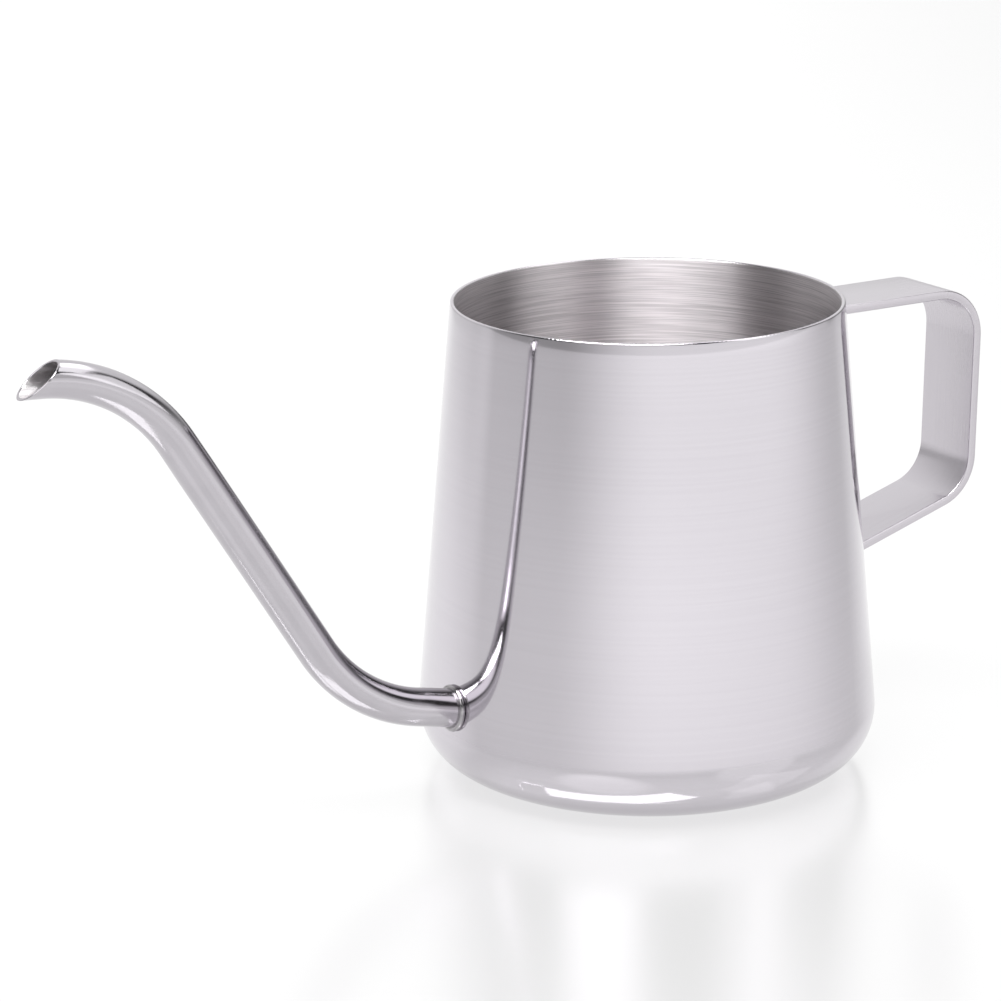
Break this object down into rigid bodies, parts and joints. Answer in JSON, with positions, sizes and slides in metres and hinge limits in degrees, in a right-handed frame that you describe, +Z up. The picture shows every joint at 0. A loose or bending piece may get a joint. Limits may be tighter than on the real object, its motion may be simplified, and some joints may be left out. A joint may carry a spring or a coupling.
{
  "type": "gooseneck pouring kettle",
  "caption": "Small open pouring kettle of polished steel: tapered round cup, thin gooseneck spout tube set low behind a collar, and a flat strap handle welded on opposite.",
  "frame": {"origin": "centre of the standing ring of the base, on the cup's axis, at the level that it rests on", "axes": "+Z up along the cup's axis, spout towards -X, handle towards +X, and y = 0 is the plane through the middle of both"},
  "size_m": [0.204, 0.0884, 0.0953],
  "materials": {
    "cup_steel": "stainless steel, bright polished outside and brushed round the inside",
    "spout_steel": "stainless steel, bright polished",
    "handle_steel": "stainless steel, satin to bright, with rounded edges",
    "weld_steel": "stainless steel weld, ground and polished"
  },
  "bodies": {
    "root": {"cup": "cup_steel", "spout_tube": "spout_steel", "spout_collar": "spout_steel", "handle_strap": "handle_steel", "handle_upper_weld": "weld_steel", "handle_lower_weld": "weld_steel"}
  },
  "joints": []
}
